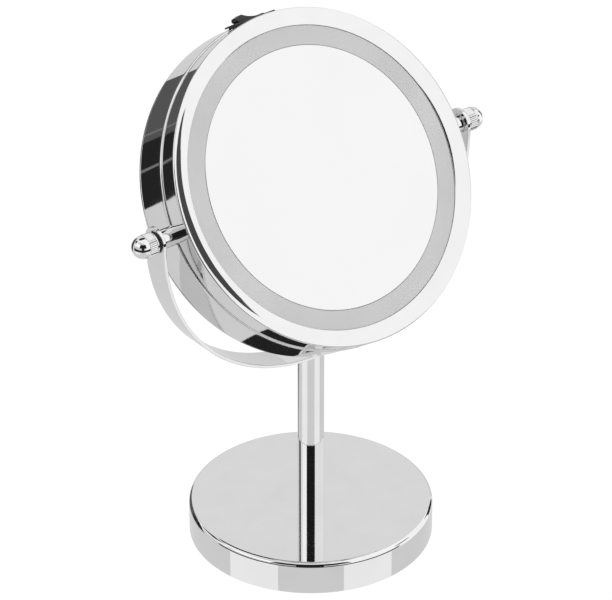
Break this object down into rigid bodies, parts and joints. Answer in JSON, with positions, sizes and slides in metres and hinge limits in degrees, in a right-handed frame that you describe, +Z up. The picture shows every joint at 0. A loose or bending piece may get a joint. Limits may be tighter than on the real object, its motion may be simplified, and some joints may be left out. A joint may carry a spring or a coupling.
{
  "type": "lighted vanity mirror",
  "caption": "Free-standing round double-sided lighted mirror that turns in a chrome yoke on a slim stem and weighted round base, with a rocker switch on its rim.",
  "frame": {"origin": "centre of the base pad's underside, where the mirror stands", "axes": "+Z up, X along the head's pivot axis, the front mirror faces -Y and is tilted back as stored"},
  "size_m": [0.2216, 0.1314, 0.2866],
  "materials": {
    "chrome_trim": "polished chrome plate",
    "mirror_glass": "silvered glass",
    "frosted_ring": "frosted light diffuser",
    "switch_black": "satin black moulding",
    "washer_black": "matt black nylon",
    "white_plastic": "matt white moulding",
    "board_green": "solder mask",
    "led_yellow": "phosphor over white package",
    "cell_wrap": "printed-free metal jacket",
    "contact_metal": "nickel-plated spring steel",
    "wire_insulation": "pvc insulation",
    "steel_zinc": "zinc-plated",
    "iron_weight": "raw casting",
    "pad_foam": "closed-cell foam",
    "foam_tape": "double-sided foam tape"
  },
  "bodies": {
    "stand": {"base_cover": "chrome_trim", "base_weight": "iron_weight", "base_plate": "steel_zinc", "plate_screws": "steel_zinc", "base_pad": "pad_foam", "stem_washer": "steel_zinc", "stem_bolt": "steel_zinc", "stem_tube": "chrome_trim", "stem_foot_insert": "steel_zinc", "stem_top_insert": "steel_zinc", "yoke_strap": "chrome_trim", "yoke_screw": "chrome_trim"},
    "head": {"front_shell": "chrome_trim", "rear_shell": "chrome_trim", "seam_band": "chrome_trim", "front_bezel": "chrome_trim", "front_light_ring": "frosted_ring", "front_mirror": "mirror_glass", "mirror_tape": "foam_tape", "front_tray": "white_plastic", "front_reflector": "white_plastic", "front_led_board": "board_green", "front_leds": "led_yellow", "chassis": "white_plastic", "shell_screws": "steel_zinc", "bracket_screws": "steel_zinc", "rear_reflector": "white_plastic", "post_screws": "steel_zinc", "rear_led_board": "board_green", "rear_leds": "led_yellow", "battery_holder": "white_plastic", "battery_cells": "cell_wrap", "battery_contacts": "contact_metal", "driver_board": "board_green", "driver_components": "switch_black", "driver_screws": "steel_zinc", "lead_wires": "wire_insulation", "switch_housing": "switch_black", "pivot_block_left": "white_plastic", "pivot_stud_left": "steel_zinc", "pivot_bush_left": "chrome_trim", "pivot_washer_left": "washer_black", "pivot_block_right": "white_plastic", "pivot_stud_right": "steel_zinc", "pivot_bush_right": "chrome_trim", "pivot_washer_right": "washer_black"},
    "rear_frame": {"rear_bezel": "chrome_trim", "rear_light_ring": "frosted_ring", "rear_mirror": "mirror_glass", "rear_tray": "white_plastic"},
    "rocker": {"rocker": "switch_black"},
    "knob_left": {"knob_left": "chrome_trim"},
    "knob_right": {"knob_right": "chrome_trim"}
  },
  "joints": [
    {"name": "head_tilt", "type": "hinge", "parent": "stand", "child": "head", "pos_m": [0, 0, 0.208], "axis": [1, 0, 0], "continuous": true},
    {"name": "rocker_switch", "type": "hinge", "parent": "head", "child": "rocker", "pos_m": [0, 0.04882, 0.27807], "axis": [0, -0.8171, 0.5764], "range_deg": [0, 26]},
    {"name": "rear_frame_twist", "type": "hinge", "parent": "head", "child": "rear_frame", "pos_m": [0, 0, 0.208], "axis": [0, 0.8171, -0.5764], "range_deg": [0, 20]},
    {"name": "knob_left_turn", "type": "hinge", "parent": "head", "child": "knob_left", "pos_m": [-0.104, 0, 0.208], "axis": [-1, 0, 0], "continuous": true},
    {"name": "knob_right_turn", "type": "hinge", "parent": "head", "child": "knob_right", "pos_m": [0.104, 0, 0.208], "axis": [1, 0, 0], "continuous": true}
  ]
}
